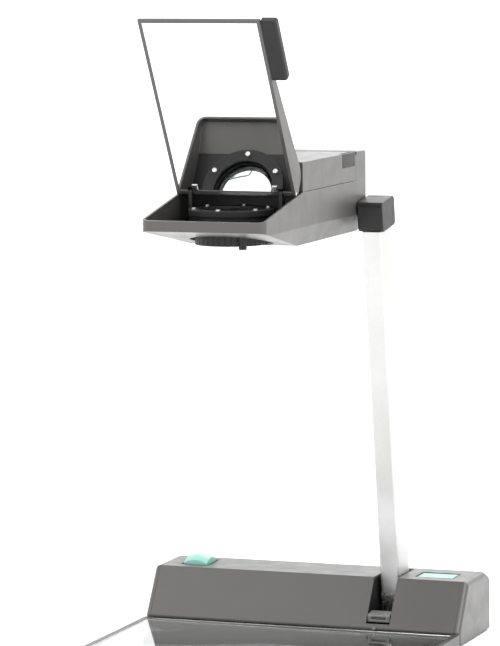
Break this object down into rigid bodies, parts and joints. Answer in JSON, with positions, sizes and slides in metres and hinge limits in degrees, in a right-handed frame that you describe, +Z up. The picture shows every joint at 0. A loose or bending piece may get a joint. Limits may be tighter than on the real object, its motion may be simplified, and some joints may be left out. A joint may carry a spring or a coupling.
{
  "type": "overhead projector",
  "caption": "Portable overhead projector: flat reflective stage, rear housing, leaning column, and a head with flip-up mirror, focus disc and lamp cover.",
  "frame": {"origin": "on the table plane, under the middle of the base", "axes": "+X along the rear housing to the column's side, +Y to the rear housing, +Z up"},
  "size_m": [0.35, 0.45, 0.6603],
  "materials": {
    "housing_plastic": "fine moulded texture, dark warm grey",
    "trim_plastic": "black moulded plastic",
    "stage_trim": "dark grey moulded plastic",
    "catch_plastic": "light grey moulded plastic",
    "teal_plastic": "pale teal, satin",
    "column_metal": "natural anodised, satin",
    "steel": "plated",
    "brass": "plain",
    "copper_winding": "enamelled copper wire, taped",
    "iron_core": "varnished steel laminations",
    "board": "green circuit board",
    "mirror": "front-silvered",
    "stage_mirror": "silvered",
    "fresnel": "clear, finely grooved",
    "clear_glass": "clear, coated",
    "rubber": "matt"
  },
  "bodies": {
    "base": {"base_pan": "housing_plastic", "pan_screws": "steel", "rubber_feet": "rubber", "reflector_plate": "stage_mirror", "fresnel_plate": "fresnel", "stage_bezel": "stage_trim", "housing_shell": "housing_plastic", "right_end_cap": "housing_plastic", "left_end_cap": "housing_plastic", "rear_cover": "trim_plastic", "mains_inlet": "trim_plastic", "inlet_pins": "brass", "fuse_holder": "trim_plastic", "switch_well": "trim_plastic", "rocker_pin": "steel", "button_guide": "trim_plastic", "button_spring": "steel", "transformer_core": "iron_core", "transformer_coil": "copper_winding", "board_posts": "catch_plastic", "control_board": "board", "board_components": "board", "arm_bracket": "steel", "arm_pin": "steel", "slot_liner": "trim_plastic", "catch_pin": "steel", "index_stud": "catch_plastic"},
    "rocker": {"lamp_rocker": "teal_plastic"},
    "release": {"arm_release_button": "teal_plastic"},
    "catch": {"catch_lever": "catch_plastic"},
    "arm": {"column_tube": "column_metal", "column_foot": "steel", "hinge_block": "trim_plastic", "head_pin": "steel", "pivot_washer": "steel"},
    "head": {"head_shell": "housing_plastic", "bulkhead": "trim_plastic", "hinge_posts": "trim_plastic", "hinge_rod": "steel", "rear_cap": "housing_plastic", "cover_rod": "steel", "lens_deck": "trim_plastic", "lens_ring": "trim_plastic", "ring_screws": "steel", "heat_glass": "clear_glass", "halogen_lamp": "clear_glass", "lamp_socket": "steel", "lamp_reflector": "steel", "fan_frame": "trim_plastic"},
    "cover": {"lamp_cover": "housing_plastic"},
    "latch": {"latch_button": "trim_plastic"},
    "lens": {"lens_barrel": "trim_plastic", "lens_glass": "clear_glass"},
    "focus": {"focus_disc": "trim_plastic", "focus_peg": "trim_plastic"},
    "fan": {"fan_rotor": "trim_plastic"},
    "mirror": {"mirror_lid": "housing_plastic", "mirror_glass": "mirror", "lid_grip": "trim_plastic", "spring_clips": "steel"}
  },
  "joints": [
    {"name": "arm_fold", "type": "hinge", "parent": "base", "child": "arm", "pos_m": [0.085, 0.1788, 0.026], "axis": [1, 0, 0], "range_deg": [0, 12]},
    {"name": "head_fold", "type": "hinge", "parent": "arm", "child": "head", "pos_m": [0.085, 0.11548, 0.44969], "axis": [1, 0, 0], "range_deg": [0, 90]},
    {"name": "mirror_tilt", "type": "hinge", "parent": "head", "child": "mirror", "pos_m": [0.006, -0.0857, 0.4844], "axis": [1, 0, 0], "range_deg": [0, 70]},
    {"name": "cover_hinge", "type": "hinge", "parent": "head", "child": "cover", "pos_m": [0.006, 0.09475, 0.5128], "axis": [-1, 0, 0], "range_deg": [0, 80]},
    {"name": "latch_press", "type": "slide", "parent": "cover", "child": "latch", "axis": [-1, 0, 0], "range_m": [0, 0.002], "stiffness_N_per_m": 500},
    {"name": "focus_turn", "type": "hinge", "parent": "head", "child": "focus", "pos_m": [0.006, -0.1005, 0.434], "axis": [0, 0, 1], "range_deg": [-90, 90]},
    {"name": "lens_travel", "type": "slide", "parent": "head", "child": "lens", "axis": [0, 0, 1], "range_m": [-0.0048, 0.0048]},
    {"name": "fan_spin", "type": "hinge", "parent": "head", "child": "fan", "pos_m": [0.006, 0.078, 0.468], "axis": [0, 1, 0], "continuous": true},
    {"name": "rocker_tip", "type": "hinge", "parent": "base", "child": "rocker", "pos_m": [-0.1355, 0.174, 0.058], "axis": [1, 0, 0], "range_deg": [-6, 6]},
    {"name": "release_press", "type": "slide", "parent": "base", "child": "release", "axis": [0, 0, -1], "range_m": [0, 0.002], "stiffness_N_per_m": 600, "deforming": ["button_spring"]},
    {"name": "catch_lift", "type": "hinge", "parent": "base", "child": "catch", "pos_m": [0.085, 0.131, 0.026], "axis": [1, 0, 0], "range_deg": [0, 15], "stiffness_Nm_per_rad": 0.3}
  ],
  "couplings": [
    {"joint": "lens_travel", "follows": "focus_turn", "m_per_rad": 0.003}
  ]
}
